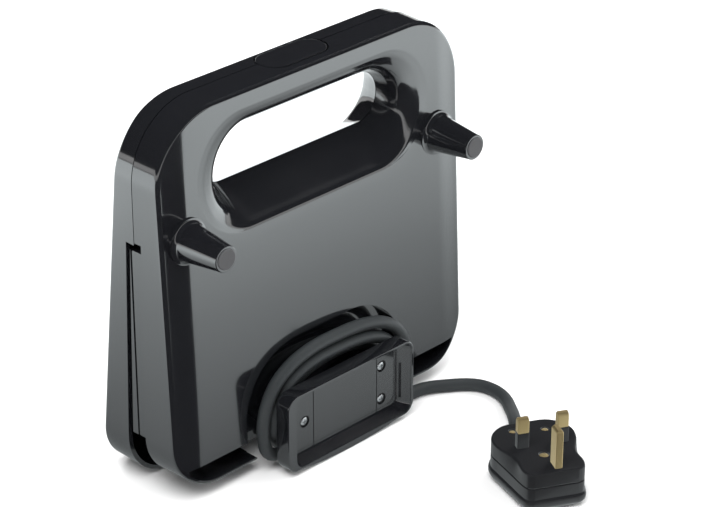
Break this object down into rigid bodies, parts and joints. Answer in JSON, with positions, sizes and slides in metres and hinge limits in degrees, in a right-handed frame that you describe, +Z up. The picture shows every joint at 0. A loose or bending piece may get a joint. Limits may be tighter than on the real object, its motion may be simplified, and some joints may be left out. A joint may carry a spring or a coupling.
{
  "type": "sandwich toaster",
  "caption": "Two-slice sandwich toaster stored upright: two hinged wedge shells with a flared carry handle, latch, cone feet, cord wound behind a screwed tray, and a three-pin plug.",
  "frame": {"origin": "on the floor, under the middle of the toaster's width and of its depth without the cord and plug", "axes": "+X to the right along the handle, +Y from the base's underside through to the lid's back, +Z up from the hinge end to the handle"},
  "size_m": [0.22, 0.2106, 0.22],
  "materials": {
    "gloss_shell": "gloss",
    "matte_shell": "satin",
    "cord_sheath": "matte",
    "plug_plastic": "satin",
    "screw_zinc": "bright zinc",
    "pin_brass": "satin",
    "plate_coating": "coated",
    "heater_steel": "satin",
    "shield_aluminium": "bright",
    "terminal_ceramic": "matte",
    "lead_insulation": "matte",
    "pad_rubber": "matte",
    "lens_red": "clear",
    "lens_green": "clear",
    "lamp_glass": "clear"
  },
  "bodies": {
    "base": {"base_shell": "gloss_shell", "base_frame": "matte_shell", "lower_plate": "plate_coating", "lower_element": "heater_steel", "lower_reflector": "shield_aluminium", "carrier_screws": "screw_zinc", "hinge_arms": "matte_shell", "arm_screws": "screw_zinc", "thermostat": "terminal_ceramic", "thermal_fuse": "heater_steel", "terminal_block": "terminal_ceramic", "inner_leads": "lead_insulation", "cord_gland": "matte_shell", "cord_tray": "gloss_shell", "tray_screws": "screw_zinc", "foot_left": "gloss_shell", "foot_right": "gloss_shell", "foot_screws": "screw_zinc", "foot_pads": "pad_rubber", "cord_coil": "cord_sheath", "cord_lead": "cord_sheath", "plug_sleeve": "cord_sheath", "plug_body": "plug_plastic", "plug_cover": "plug_plastic", "plug_screws": "screw_zinc", "earth_pin": "pin_brass", "live_pins": "pin_brass", "pin_sleeves": "plug_plastic"},
    "lid": {"lid_shell": "gloss_shell", "lid_frame": "matte_shell", "upper_plate": "plate_coating", "upper_element": "heater_steel", "upper_reflector": "shield_aluminium", "lid_carrier_screws": "screw_zinc", "hinge_pins": "heater_steel", "neon_lamps": "lamp_glass", "power_lens": "lens_red", "ready_lens": "lens_green", "latch_pin": "heater_steel"},
    "latch": {"latch": "gloss_shell"}
  },
  "joints": [
    {"name": "lid_hinge", "type": "hinge", "parent": "base", "child": "lid", "pos_m": [0, 0.0263, 0.0175], "axis": [-1, 0, 0], "range_deg": [0, 90]},
    {"name": "latch_hinge", "type": "hinge", "parent": "lid", "child": "latch", "pos_m": [0, 0.0118, 0.2183], "axis": [-1, 0, 0], "range_deg": [0, 40]}
  ]
}
